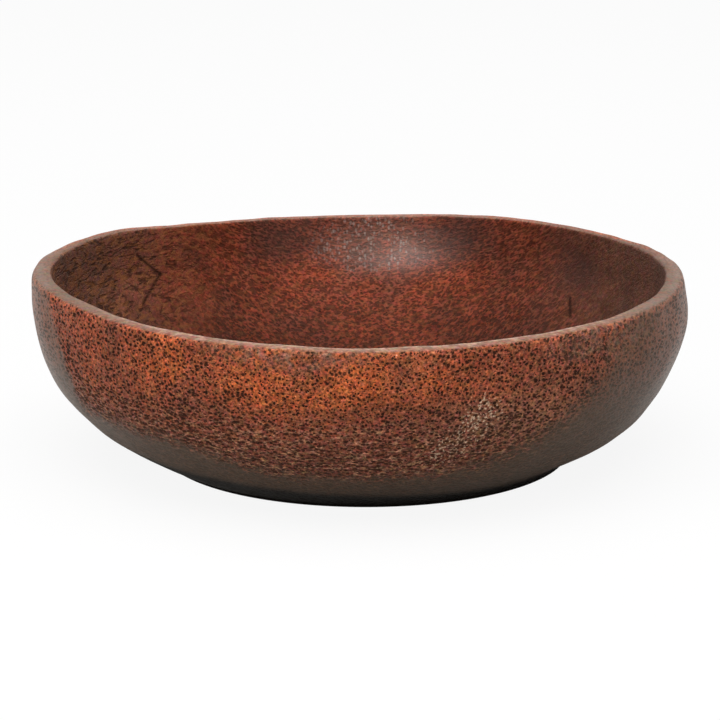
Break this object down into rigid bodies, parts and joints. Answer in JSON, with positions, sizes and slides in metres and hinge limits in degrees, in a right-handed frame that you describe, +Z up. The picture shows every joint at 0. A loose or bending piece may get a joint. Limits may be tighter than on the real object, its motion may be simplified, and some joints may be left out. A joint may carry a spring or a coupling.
{
  "type": "soup plate",
  "caption": "Deep round soup plate carved from one block of palm wood, with an uneven hand-cut rim, a flat lip, a rounded wall and a low flat foot.",
  "frame": {"origin": "centre of the bounding box in plan, on the plane that the foot stands on", "axes": "+Z up, out of the hollow; the front, as the picture shows it, faces -Y, with +X to the right"},
  "size_m": [0.203, 0.1994, 0.0584],
  "materials": {
    "palm_wood": "oiled red-brown palm wood with dark fibre bundles, satin"
  },
  "bodies": {
    "root": {"bowl": "palm_wood"}
  },
  "joints": []
}
